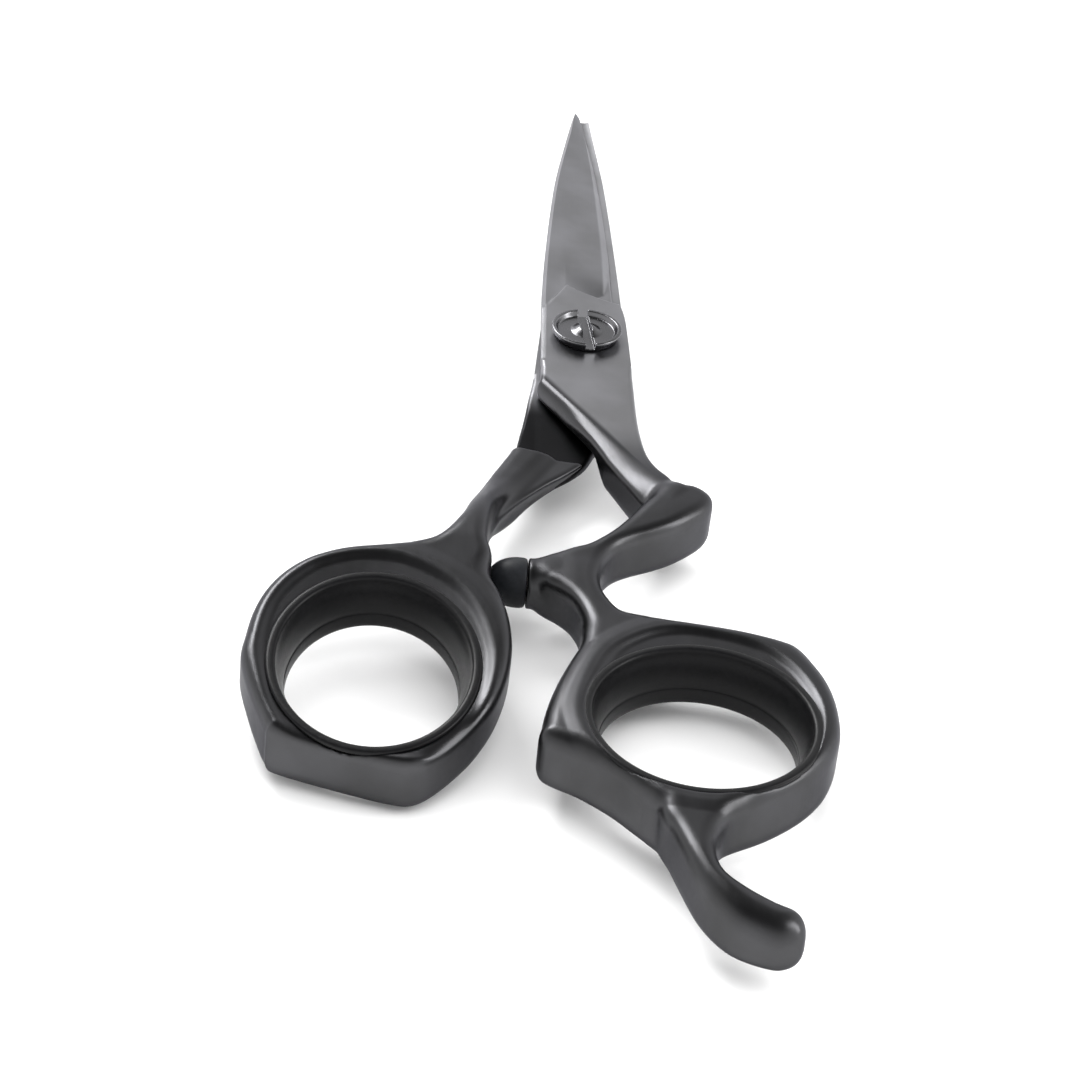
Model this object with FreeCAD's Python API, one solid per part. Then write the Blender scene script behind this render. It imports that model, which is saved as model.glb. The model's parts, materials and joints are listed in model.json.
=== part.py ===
import FreeCAD, Part
import math
import os

# Hair cutting shears, closed. Millimetres. While it is modelled the pivot is the Z axis, the ride
# plane between the blades is z = 0, the tips point along +Y and the finger half lies on top.

# ---- driving dimensions ----
BLADE_REACH = 61.5           # pivot axis to the tips
BLADE_THICKNESS = 2.2        # each blade at its ride plate
TIP_THICKNESS = 0.9
EDGE_THICKNESS = 0.25        # land left at the cutting edge
SPINE_BEVEL = 0.5
HEEL_Y = 8.0                 # where the grind begins
BLADE_GAP = 0.10             # running gap between the two ride faces
PLATE_HALF_WIDTH = 5.3       # ride plate, each side of the pivot
WELD_RADIUS = 24.0           # the finger blade ends and its handle begins this far from the pivot
SHOULDER_RADIUS = 27.9       # the same for the thumb half, where its shoulder stands
SWEEP_CLEARANCE = 0.5        # a handle stays this much outside the other half's ride plate
HANDLE_THICKNESS = 6.4
EDGE_ROUND = 1.3             # rounding of the rings' outer edges

FINGER_RING_X = 11.2
FINGER_RING_Y = -73.6
FINGER_BORE_RADIUS = 11.9    # metal bore that holds the insert
FINGER_WALL = 2.4            # metal round the bore at its thinnest

THUMB_RING_X = -21.7
THUMB_RING_Y = -68.8
THUMB_BORE_X = 10.7          # half width of the oval bore
THUMB_BORE_Y = 12.6          # half length of the oval bore
THUMB_WALL = 2.2
THUMB_RING_TILT = 9.0        # degrees, far side up

INSERT_WALL = 1.5            # rubber thickness at the land
INSERT_LAND = 2.4            # length of the straight land inside the insert
INSERT_FLARE = 0.55          # how far the insert opens out towards its ends
INSERT_LIP = 0.5             # lip over the metal
INSERT_LIP_THICKNESS = 0.3

TANG_LENGTH = 13.5           # finger ring's edge to the end of the tang
TANG_WIDTH = 6.8
TANG_NECK = 3.6
NECK_WIDTH = 5.0
HUMP_WIDTH = 6.8

BOSS_RADIUS = 2.8
BOSS_Y = -49.2
BOSS_END_X = -6.2
BUMPER_RADIUS = 2.65
BUMPER_LENGTH = 4.0
STUD_RADIUS = 1.0
STUD_HEAD_RADIUS = 1.6
STUD_LENGTH = 3.6

SCREW_HEAD_RADIUS = 4.2
SCREW_HEAD_HEIGHT = 1.2
SCREW_DISH_DEPTH = 0.7
SCREW_RIM = 0.45
SCREW_DOME_RADIUS = 1.8
SLOT_WIDTH = 1.05
SCREW_SHANK_RADIUS = 1.9
THREAD_RADIUS = 1.5
RUN_CLEARANCE = 0.04         # radial, between parts that turn on each other
STACK_GAP = 0.04             # axial, between washers that turn on each other
BUSH_WALL = 0.5
NUT_WALL = 1.0
WASHER_RADIUS = 3.6
WASHER_THICKNESS = 0.4
SPRING_THICKNESS = 0.3
RIDE_WASHER_RADIUS = 4.2
RIDE_WASHER_THICKNESS = 0.3

# ---- values worked out from them ----
HALF = HANDLE_THICKNESS / 2
RIDE_FACE = BLADE_GAP / 2
BUSH_RADIUS = SCREW_SHANK_RADIUS + RUN_CLEARANCE + BUSH_WALL
NUT_RADIUS = THREAD_RADIUS + RUN_CLEARANCE + NUT_WALL
STACK_DEPTH = WASHER_THICKNESS + SPRING_THICKNESS + STACK_GAP
COUNTERBORE_RADIUS = WASHER_RADIUS + 0.1
HEAD_BOTTOM = BLADE_THICKNESS + STACK_GAP
HEAD_TOP = HEAD_BOTTOM + SCREW_HEAD_HEIGHT
INSERT_TOP = HALF + INSERT_LIP_THICKNESS
OVERCUT = 50.0

UP = FreeCAD.Vector(0, 0, 1)
ORIGIN = FreeCAD.Vector(0, 0, 0)


def point(x, y, z=0.0):
    return FreeCAD.Vector(x, y, z)


def between(start, end, share):
    return start + (end - start) * share


def on_circle(radius, degrees):
    angle = math.radians(degrees)
    return point(radius * math.cos(angle), radius * math.sin(angle))


def cylinder(radius, low, high):
    return Part.makeCylinder(radius, high - low, point(0, 0, low), UP)


def polygon(points):
    return Part.makePolygon(points + [points[0]])


def plate(points, low, high):
    """A flat plate from low to high with straight-sided outline through the points."""
    wire = polygon([point(p.x, p.y, low) for p in points])
    return Part.Face(wire).extrude(UP * (high - low))


def turned(profile):
    """A solid of revolution about Z from (radius, z) corners."""
    wire = polygon([point(r, 0, z) for r, z in profile])
    return Part.Face(wire).revolve(ORIGIN, UP, 360)


def limb(sections):
    """An organic bar lofted through (centre, width, thickness, heading in degrees) sections."""
    wires = []
    for centre, width, thickness, heading in sections:
        angle = math.radians(heading)
        across = point(-math.sin(angle), math.cos(angle))
        points = []
        for step in range(12):
            turn = 2 * math.pi * step / 12
            side = math.copysign(abs(math.cos(turn)) ** 0.8, math.cos(turn))
            rise = math.copysign(abs(math.sin(turn)) ** 0.8, math.sin(turn))
            points.append(centre + across * (side * width / 2) + UP * (rise * thickness / 2))
        curve = Part.BSplineCurve()
        curve.interpolate(points, PeriodicFlag=True)
        wires.append(Part.Wire([curve.toShape()]))
    return Part.makeLoft(wires, True, False)


def rounded_ring(outline, low, high):
    """A plate with a smooth closed outline and rounded upper and lower edges."""
    curve = Part.BSplineCurve()
    curve.interpolate([point(p.x, p.y, low) for p in outline], PeriodicFlag=True)
    solid = Part.Face(Part.Wire([curve.toShape()])).extrude(UP * (high - low))
    rims = [e for e in solid.Edges if e.BoundBox.ZLength < 0.01]
    return solid.makeFillet(EDGE_ROUND, rims)


def blade(stations, thickness, tip_thickness):
    """The ground part of a blade: its inner face is z = RIDE_FACE, its spine is at -X.

    Each station is (y, spine offset, edge offset, how far the grind has come)."""
    wires = []
    for y, spine, edge, ground in stations:
        travel = (y - HEEL_Y) / (BLADE_REACH - HEEL_Y)
        top = thickness + (tip_thickness - thickness) * travel
        bevel = min(SPINE_BEVEL, top / 3, (edge + spine) / 5)
        edge_top = top + (RIDE_FACE + EDGE_THICKNESS - top) * ground
        crown = -spine + (edge + spine) * (0.95 - 0.60 * ground)
        corners = [
            (-spine, RIDE_FACE),
            (edge, RIDE_FACE),
            (edge, edge_top),
            (crown, top),
            (-spine + bevel, top),
            (-spine, top - bevel),
        ]
        wires.append(polygon([point(x, y, z) for x, z in corners]))
    return Part.makeLoft(wires, True, True)


def flipped(shape):
    """Turns a shape over about Y, from the finger half's side of the ride plane to the thumb's."""
    return shape.rotated(ORIGIN, point(0, 1, 0), 180)


def inside(solid, radius):
    return solid.common(cylinder(radius, -OVERCUT, OVERCUT))


def outside(solid, radius, low, high):
    return solid.cut(cylinder(radius, low, high))


def oval_wire(half_x, half_y, z):
    """An oval about the Z axis, longer along Y than along X."""
    ends = [point(0, half_y, z), point(half_x, 0, z), point(0, 0, z)]
    return Part.Wire([Part.Ellipse(*ends).toShape()])


def oval(half_x, half_y, low, high):
    """An upright oval block about the Z axis."""
    return Part.Face(oval_wire(half_x, half_y, low)).extrude(UP * (high - low))


# ---- blades ----
def make_finger_blade():
    ground = blade([
        (HEEL_Y, 5.3, 4.2, 0.0),
        (HEEL_Y + 0.10 * BLADE_REACH, 5.15, 3.5, 0.9),
        (0.42 * BLADE_REACH, 4.7, 2.9, 1.0),
        (0.66 * BLADE_REACH, 3.9, 1.9, 1.0),
        (0.86 * BLADE_REACH, 2.5, 0.6, 1.0),
        (BLADE_REACH, 1.4, -0.5, 1.0),
    ], BLADE_THICKNESS, TIP_THICKNESS)
    tail = on_circle(WELD_RADIUS + 3, -88)
    heel = on_circle(WELD_RADIUS + 3, -75)
    ride = plate([
        point(-5.3, HEEL_Y),
        point(-PLATE_HALF_WIDTH, -0.2 * WELD_RADIUS),
        point(-5.9, -0.49 * WELD_RADIUS),
        tail,
        heel,
        point(5.65, -0.62 * WELD_RADIUS),
        point(5.3, -0.3 * WELD_RADIUS),
        point(4.8, 0.2 * WELD_RADIUS),
        point(4.2, HEEL_Y),
    ], RIDE_FACE, BLADE_THICKNESS)
    solid = ground.fuse(inside(ride, WELD_RADIUS)).removeSplitter()
    bore = cylinder(BUSH_RADIUS, -OVERCUT, OVERCUT)
    counterbore = cylinder(COUNTERBORE_RADIUS, BLADE_THICKNESS - STACK_DEPTH, OVERCUT)
    return solid.cut(bore).cut(counterbore).cut(ride_recess())


def make_thumb_blade():
    ground = blade([
        (HEEL_Y, 4.6, 4.6, 0.0),
        (HEEL_Y + 0.10 * BLADE_REACH, 4.45, 4.3, 0.9),
        (0.42 * BLADE_REACH, 3.8, 3.9, 1.0),
        (0.66 * BLADE_REACH, 2.8, 3.1, 1.0),
        (0.86 * BLADE_REACH, 1.5, 2.0, 1.0),
        (0.997 * BLADE_REACH, 0.7, 0.6, 1.0),
    ], BLADE_THICKNESS, TIP_THICKNESS)
    tail = on_circle(SHOULDER_RADIUS + 3, -97)
    heel = on_circle(SHOULDER_RADIUS + 3, -106)
    ride = plate([
        point(4.6, HEEL_Y),
        point(PLATE_HALF_WIDTH, -0.2 * SHOULDER_RADIUS),
        point(4.5, -0.39 * SHOULDER_RADIUS),
        point(0.3, -0.84 * SHOULDER_RADIUS),
        tail,
        heel,
        point(-7.6, -0.73 * SHOULDER_RADIUS),
        point(-5.9, -0.21 * SHOULDER_RADIUS),
        point(-4.9, 0.17 * SHOULDER_RADIUS),
        point(-4.6, HEEL_Y),
    ], -BLADE_THICKNESS, -RIDE_FACE)
    solid = flipped(ground).fuse(inside(ride, SHOULDER_RADIUS)).removeSplitter()
    return solid.cut(cylinder(NUT_RADIUS, -OVERCUT, OVERCUT)).cut(ride_recess())


def ride_recess():
    """The shallow seat in both ride faces that takes the ride washer."""
    depth = RIDE_WASHER_THICKNESS / 2 + STACK_GAP
    return cylinder(RIDE_WASHER_RADIUS + RUN_CLEARANCE, -depth, depth)


# ---- handles ----
def finger_ring_outline():
    reach = FINGER_BORE_RADIUS + FINGER_WALL
    shape = [
        (172, 1.06), (150, 1.08), (130, 1.19), (113, 1.21), (95, 1.15), (75, 1.13), (58, 1.18), (48, 1.18),
        (36, 1.13), (12, 1.02), (-14, 0.99), (-40, 0.99), (-64, 1.03), (-86, 1.09), (-112, 1.09), (-138, 1.06),
        (-156, 1.12), (-171, 1.12),
    ]
    centre = point(FINGER_RING_X, FINGER_RING_Y)
    return [centre + on_circle(reach * share, angle) for angle, share in shape]


def make_finger_handle():
    centre = point(FINGER_RING_X, FINGER_RING_Y)
    outline = finger_ring_outline()
    ring = rounded_ring(outline, -HALF, HALF)
    weld = on_circle(WELD_RADIUS, -82)
    hump = weld + point(7.4, -10.8)
    boss_root = point(0.6, BOSS_Y)
    ring_top = centre + on_circle(FINGER_BORE_RADIUS + FINGER_WALL, 128)
    neck = limb([
        (weld + point(-1.2, 3.2, 0.52 * BLADE_THICKNESS), 6.6, BLADE_THICKNESS, -66),
        (weld + point(0.8, -2.4, 0.3), NECK_WIDTH, 0.62 * HANDLE_THICKNESS, -66),
        (between(weld, hump, 0.72) + point(-2.6, -1.2), 0.94 * NECK_WIDTH, 0.9 * HANDLE_THICKNESS, -62),
        (between(weld, hump, 1.0) + point(-3.6, -4.0), 0.9 * NECK_WIDTH, 0.9 * HANDLE_THICKNESS, -70),
    ])
    arm = limb([
        (hump + point(2.4, 1.9), 0.45 * HUMP_WIDTH, 0.7 * HANDLE_THICKNESS, -140),
        (hump + point(1.2, 0.8), 0.92 * HUMP_WIDTH, 1.0 * HANDLE_THICKNESS, -140),
        (hump + point(-1.7, -2.8), 1.0 * HUMP_WIDTH, 1.06 * HANDLE_THICKNESS, -138),
        (between(hump, boss_root, 0.60) + point(-0.5, 0.2), 0.70 * HUMP_WIDTH, HANDLE_THICKNESS, -136),
        (boss_root + point(-0.5, 1.4), 0.72 * HUMP_WIDTH, HANDLE_THICKNESS, -115),
        (between(boss_root, ring_top, 0.55) + point(-0.6, 0), 0.78 * HUMP_WIDTH, 0.98 * HANDLE_THICKNESS, -85),
        (ring_top + point(0.2, -1.0), 1.1 * HUMP_WIDTH, 0.95 * HANDLE_THICKNESS, -80),
    ])
    boss = Part.makeCylinder(BOSS_RADIUS, -BOSS_END_X + 1.0, point(1.0, BOSS_Y), point(-1, 0, 0))
    tang_root = centre + on_circle(FINGER_BORE_RADIUS + FINGER_WALL, -92)
    tang_end = tang_root + point(0.50 * TANG_LENGTH, -1.12 * TANG_LENGTH)
    tang = limb([
        (tang_root + point(-0.6, 1.0), 2.2 * TANG_NECK, 0.9 * HANDLE_THICKNESS, -90),
        (between(tang_root, tang_end, 0.36) + point(-2.9, 0), TANG_NECK, 0.9 * HANDLE_THICKNESS, -86),
        (between(tang_root, tang_end, 0.64) + point(-3.2, -0.3), 0.75 * TANG_WIDTH, 0.95 * HANDLE_THICKNESS, -62),
        (between(tang_root, tang_end, 0.88) + point(-1.7, -0.3), TANG_WIDTH, 0.95 * HANDLE_THICKNESS, -42),
        (tang_end + point(1.8, 0.3), 0.66 * TANG_WIDTH, 0.7 * HANDLE_THICKNESS, -28),
    ])
    solid = ring.fuse([neck, arm, boss, tang]).removeSplitter()
    bore = oval(FINGER_BORE_RADIUS, FINGER_BORE_RADIUS, -OVERCUT, OVERCUT).translated(centre)
    solid = solid.cut(bore)
    solid = outside(solid, WELD_RADIUS, -OVERCUT, OVERCUT)
    solid = outside(solid, WELD_RADIUS + SWEEP_CLEARANCE, -OVERCUT, RIDE_FACE)
    return solid.cut(stud_socket())


def thumb_ring_placed(shape):
    tilted = shape.rotated(ORIGIN, point(1, 0, 0), THUMB_RING_TILT)
    return tilted.translated(point(THUMB_RING_X, THUMB_RING_Y))


def make_thumb_handle():
    shape = [
        (178, 1.02), (150, 1.10), (122, 1.21), (96, 1.26), (70, 1.34), (48, 1.25), (24, 1.13), (2, 1.04),
        (-22, 1.02), (-44, 1.06), (-60, 1.10), (-74, 1.07), (-98, 1.0), (-118, 1.01), (-136, 1.06), (-158, 1.0),
    ]
    outline = []
    for angle, share in shape:
        turn = math.radians(angle)
        wall_x = THUMB_BORE_X + THUMB_WALL
        wall_y = THUMB_BORE_Y + 0.6 * THUMB_WALL
        outline.append(point(wall_x * share * math.cos(turn), wall_y * share * math.sin(turn)))
    bore = oval(THUMB_BORE_X, THUMB_BORE_Y, -OVERCUT, OVERCUT)
    ring = thumb_ring_placed(rounded_ring(outline, -HALF, HALF).cut(bore))
    centre = point(THUMB_RING_X, THUMB_RING_Y)
    weld = on_circle(SHOULDER_RADIUS, -102)
    ring_top = centre + point(0.55 * THUMB_BORE_X, THUMB_BORE_Y + 3.0, 1.6)
    shank = limb([
        (weld + point(1.4, 3.4, 0.1), 6.6, 0.9 * HANDLE_THICKNESS, -106),
        (weld + point(-0.2, -0.8), 5.8, 0.97 * HANDLE_THICKNESS, -108),
        (between(weld, ring_top, 0.25) + point(-0.8, 0), 3.9, HANDLE_THICKNESS, -110),
        (between(weld, ring_top, 0.60) + point(-0.8, 0), 3.8, HANDLE_THICKNESS, -112),
        (between(weld, ring_top, 0.84) + point(-1.0, 0), 5.6, 0.98 * HANDLE_THICKNESS, -114),
        (ring_top + point(-1.6, -2.6), 8.2, 0.86 * HANDLE_THICKNESS, -116),
    ])
    shank = outside(shank, SHOULDER_RADIUS, -OVERCUT, OVERCUT)
    shank = outside(shank, SHOULDER_RADIUS + SWEEP_CLEARANCE, -RIDE_FACE, OVERCUT)
    return ring.fuse(shank.cut(thumb_ring_placed(bore)))


# ---- ring liners and bumper ----
def make_finger_insert():
    """A round liner with a lip over each face, a straight land and flared mouths."""
    land = FINGER_BORE_RADIUS - INSERT_WALL
    mouth = land + INSERT_FLARE
    lip = FINGER_BORE_RADIUS + INSERT_LIP
    liner = turned([
        (land, -INSERT_LAND / 2),
        (mouth, -INSERT_TOP),
        (lip, -INSERT_TOP),
        (lip, -HALF),
        (FINGER_BORE_RADIUS, -HALF),
        (FINGER_BORE_RADIUS, HALF),
        (lip, HALF),
        (lip, INSERT_TOP),
        (mouth, INSERT_TOP),
        (land, INSERT_LAND / 2),
    ])
    return liner.translated(point(FINGER_RING_X, FINGER_RING_Y))


def make_thumb_insert():
    """The same liner, oval."""
    flare = INSERT_WALL - INSERT_FLARE
    waist = INSERT_LAND / 2
    body = oval(THUMB_BORE_X, THUMB_BORE_Y, -INSERT_TOP, INSERT_TOP)
    for low in (-INSERT_TOP, HALF):
        lip = oval(THUMB_BORE_X + INSERT_LIP, THUMB_BORE_Y + INSERT_LIP, low, low + INSERT_LIP_THICKNESS)
        body = body.fuse(lip)
    levels = [(-INSERT_TOP, flare), (-waist, INSERT_WALL), (waist, INSERT_WALL), (INSERT_TOP, flare)]
    wires = [oval_wire(THUMB_BORE_X - wall, THUMB_BORE_Y - wall, z) for z, wall in levels]
    opening = Part.makeLoft(wires, True, True)
    return thumb_ring_placed(body.removeSplitter().cut(opening))


def along_bumper(shape):
    """Turns a shape made along +Z to point along -X from the end of the boss."""
    return shape.rotated(ORIGIN, point(0, 1, 0), -90).translated(point(BOSS_END_X, BOSS_Y))


def stud_shape(grow):
    stem = cylinder(STUD_RADIUS + grow, -STUD_LENGTH, STUD_LENGTH / 2)
    head = cylinder(STUD_HEAD_RADIUS + grow, 0.25 * STUD_LENGTH, STUD_LENGTH / 2)
    return stem.fuse(head).removeSplitter()


def stud_socket():
    return along_bumper(cylinder(STUD_RADIUS, -STUD_LENGTH, 0.1))


def make_bumper_stud():
    return along_bumper(stud_shape(0))


def make_bumper():
    straight = BUMPER_LENGTH - BUMPER_RADIUS * 0.8
    body = cylinder(BUMPER_RADIUS, 0, straight)
    dome = Part.makeSphere(BUMPER_RADIUS)
    stretch = FreeCAD.Matrix()
    stretch.scale(1, 1, 0.8)
    dome = dome.transformGeometry(stretch).translated(point(0, 0, straight))
    cap = dome.common(cylinder(BUMPER_RADIUS + 1, straight, OVERCUT))
    return along_bumper(body.fuse(cap).removeSplitter()).cut(make_bumper_stud())


# ---- pivot ----
def make_pivot_screw():
    nose = -BLADE_THICKNESS + 0.2
    floor = HEAD_TOP - SCREW_DISH_DEPTH
    head = turned([
        (0, HEAD_BOTTOM),
        (SCREW_HEAD_RADIUS - 0.2, HEAD_BOTTOM),
        (SCREW_HEAD_RADIUS, HEAD_BOTTOM + 0.2),
        (SCREW_HEAD_RADIUS, HEAD_TOP - 0.15),
        (SCREW_HEAD_RADIUS - 0.15, HEAD_TOP),
        (SCREW_HEAD_RADIUS - SCREW_RIM, HEAD_TOP),
        (SCREW_HEAD_RADIUS - SCREW_RIM - 0.25, floor),
        (SCREW_DOME_RADIUS, floor),
        (SCREW_DOME_RADIUS * 0.7, HEAD_TOP - 0.1),
        (0, HEAD_TOP),
    ])
    slot_floor = floor - 0.15
    slot_length = 2 * SCREW_HEAD_RADIUS + 1
    slot = Part.makeBox(SLOT_WIDTH, slot_length, 5, point(-SLOT_WIDTH / 2, -slot_length / 2, slot_floor))
    shank = cylinder(SCREW_SHANK_RADIUS, -RIDE_FACE, HEAD_BOTTOM)
    thread = cylinder(THREAD_RADIUS, nose, -RIDE_FACE)
    return head.fuse([shank, thread]).removeSplitter().cut(slot)


def make_pivot_nut():
    seat = -RIDE_FACE - RIDE_WASHER_THICKNESS / 2 - STACK_GAP
    outer = cylinder(NUT_RADIUS, -BLADE_THICKNESS, seat)
    return outer.cut(cylinder(THREAD_RADIUS + RUN_CLEARANCE, -OVERCUT, OVERCUT))


def make_spring_washer():
    top = HEAD_BOTTOM - STACK_GAP / 2
    ring = cylinder(WASHER_RADIUS, top - SPRING_THICKNESS, top)
    return ring.cut(cylinder(SCREW_SHANK_RADIUS + 0.02, -OVERCUT, OVERCUT))


def make_head_washer():
    low = BLADE_THICKNESS - STACK_DEPTH
    ring = cylinder(WASHER_RADIUS, low, low + WASHER_THICKNESS)
    return ring.cut(cylinder(BUSH_RADIUS, -OVERCUT, OVERCUT))


def make_pivot_bush():
    low = RIDE_FACE + RIDE_WASHER_THICKNESS / 2 + STACK_GAP
    high = BLADE_THICKNESS - STACK_DEPTH + WASHER_THICKNESS
    sleeve = cylinder(BUSH_RADIUS, low, high)
    return sleeve.cut(cylinder(SCREW_SHANK_RADIUS + RUN_CLEARANCE, -OVERCUT, OVERCUT))


def make_ride_washer():
    ring = cylinder(RIDE_WASHER_RADIUS, -RIDE_WASHER_THICKNESS / 2, RIDE_WASHER_THICKNESS / 2)
    return ring.cut(cylinder(SCREW_SHANK_RADIUS + RUN_CLEARANCE, -OVERCUT, OVERCUT))


# ---- assembly ----
nodes = {
    "finger_blade": make_finger_blade(),
    "finger_handle": make_finger_handle(),
    "thumb_blade": make_thumb_blade(),
    "thumb_handle": make_thumb_handle(),
    "finger_insert": make_finger_insert(),
    "thumb_insert": make_thumb_insert(),
    "bumper": make_bumper(),
    "bumper_stud": make_bumper_stud(),
    "pivot_screw": make_pivot_screw(),
    "pivot_nut": make_pivot_nut(),
    "spring_washer": make_spring_washer(),
    "head_washer": make_head_washer(),
    "pivot_bush": make_pivot_bush(),
    "ride_washer": make_ride_washer(),
}

# The origin moves from the pivot to the middle of the whole object's underside.
box = Part.makeCompound(list(nodes.values())).optimalBoundingBox(False, False)
shift = point(-box.Center.x, -box.Center.y, -box.ZMin)
os.makedirs("parts", exist_ok=True)
for name, shape in nodes.items():
    placed = shape.translated(shift)
    placed.exportStep("parts/" + name + ".step")
    print(name, len(placed.Solids), round(placed.Volume, 2), placed.isValid())
print("pivot at", [round(c, 4) for c in shift], "size", box.XLength, box.YLength, box.ZLength)
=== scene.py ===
import json
import math

import bmesh
import bpy
import numpy as np
from mathutils import Matrix, Vector


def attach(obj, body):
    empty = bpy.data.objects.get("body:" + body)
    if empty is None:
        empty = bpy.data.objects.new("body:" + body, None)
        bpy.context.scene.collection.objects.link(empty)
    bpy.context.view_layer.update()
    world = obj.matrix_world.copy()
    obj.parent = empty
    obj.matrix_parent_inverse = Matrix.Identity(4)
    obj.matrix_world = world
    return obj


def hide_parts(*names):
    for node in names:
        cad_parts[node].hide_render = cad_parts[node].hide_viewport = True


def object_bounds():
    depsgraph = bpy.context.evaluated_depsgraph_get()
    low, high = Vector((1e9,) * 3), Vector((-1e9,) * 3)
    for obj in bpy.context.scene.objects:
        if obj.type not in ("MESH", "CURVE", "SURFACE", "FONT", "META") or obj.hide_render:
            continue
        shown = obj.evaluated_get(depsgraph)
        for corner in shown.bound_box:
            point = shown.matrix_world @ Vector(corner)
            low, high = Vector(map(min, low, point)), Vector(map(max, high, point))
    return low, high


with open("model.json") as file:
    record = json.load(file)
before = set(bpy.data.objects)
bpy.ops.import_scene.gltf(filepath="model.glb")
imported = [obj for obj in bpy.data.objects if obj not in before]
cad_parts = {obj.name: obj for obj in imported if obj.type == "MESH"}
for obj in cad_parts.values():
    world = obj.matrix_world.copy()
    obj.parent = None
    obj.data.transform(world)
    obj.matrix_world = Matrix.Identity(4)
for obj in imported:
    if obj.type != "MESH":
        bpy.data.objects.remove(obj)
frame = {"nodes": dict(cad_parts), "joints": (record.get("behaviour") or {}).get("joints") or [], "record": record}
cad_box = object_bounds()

# The shapes below are in millimetres from the pivot: the pivot screw's axis is x = y = 0, the ride
# plane between the blades is z = 0, +Y is towards the tips and the finger half lies on top.
MM = 0.001
PIVOT = np.array(next(j for j in frame["joints"] if j["name"] == "blade_pivot")["pos_m"])
HINGE_BODY = "thumb_half"
ROOT_BODY = "finger_half"

RIDE_FACE = 0.05             # each ride face stands this far from the ride plane
PLATE_TOP = 2.2              # outer face of each ride plate
HALF = 3.2                   # half the handles' thickness
PLATE_ROUND = 0.15           # rounding of the ride plates' edges beside the blades
PLATE_ROUND_MORE = 0.35      # and how much it grows towards the handles
BOTTOM_ROUND = 1.9           # rounding under both handles
BORE_ROUND = 0.45            # rounding of the ring bores' rims

SPLIT_Y = -6.0               # the ground blade ends and the forged ride plate begins
FINGER_STEP = (22.9, 26.5)   # the finger half steps down out of the ride plane between these radii
SHOULDER_RADIUS = 27.9       # the thumb half steps up out of it behind this radius
HOLLOW_DEPTH = 1.5           # recess in the thumb plate in front of its shoulder
ROLL_START = (-4.9, -10.75)  # the line where the finger plate's top starts to roll over
ROLL_END = (6.3, -27.8)
FINGER_WELD = ((3.6, -25.2), -66)   # a point on each weld and the heading of its handle, in degrees
THUMB_WELD = ((-8.2, -31.0), -112)

FINGER_TIP = 61.5
THUMB_TIP = 61.3
FINGER_BORE = (11.5, -73.9)
FINGER_BORE_RADIUS = 11.75
THUMB_RING = (-21.7, -68.8)
THUMB_TILT = math.radians(9)
THUMB_BORE = (0.15, 0.3)     # in the tilted ring's own frame
THUMB_BORE_HALF = (10.55, 12.35)

BOSS_Y = -49.2               # the bumper and its boss lie along X at this Y
BOSS_RADIUS = 2.7
BOSS_START = -2.5
BOSS_END = -6.2

HEAD_RADIUS = 4.2            # the tension screw's head
HEAD_LOW = 2.24
HEAD_HIGH = 3.5
SLOT_TURN = math.radians(7)


# ---- distance fields ----
def smooth_min(a, b, k):
    """The union of two fields, with a fillet about k wide."""
    h = np.clip(0.5 + 0.5 * (b - a) / k, 0, 1)
    return b + (a - b) * h - k * h * (1 - h)


def smooth_max(a, b, k):
    """The part common to two fields, with a rounding about k wide."""
    return -smooth_min(-a, -b, k)


def smoothstep(low, high, value):
    """Rises smoothly from 0 at low to 1 at high; falls where low is the larger."""
    t = np.clip((value - low) / (high - low), 0, 1)
    return t * t * (3 - 2 * t)


def spline(points, closed=True, steps=6):
    """Catmull-Rom curve through the points. A point given as (x, y, 1) is a corner."""
    corners = [len(p) > 2 for p in points]
    p = np.array([q[:2] for q in points], float)
    n = len(p)
    out = []
    for i in range(n if closed else n - 1):
        a, b = p[i], p[(i + 1) % n]
        before = a if corners[i] or (not closed and i == 0) else p[i - 1]
        after = b if corners[(i + 1) % n] or (not closed and i == n - 2) else p[(i + 2) % n]
        t = (np.arange(steps) / steps)[:, None]
        ta, tb = (b - before) / 2, (after - a) / 2
        if before is a:
            ta = b - a
        if after is b:
            tb = b - a
        h = t * t * (3 - 2 * t)
        out.append(a * (1 - h) + b * h + ta * (t ** 3 - 2 * t * t + t) + tb * (t ** 3 - t * t))
    if not closed:
        out.append(p[-1:])
    return np.concatenate(out)


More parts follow.
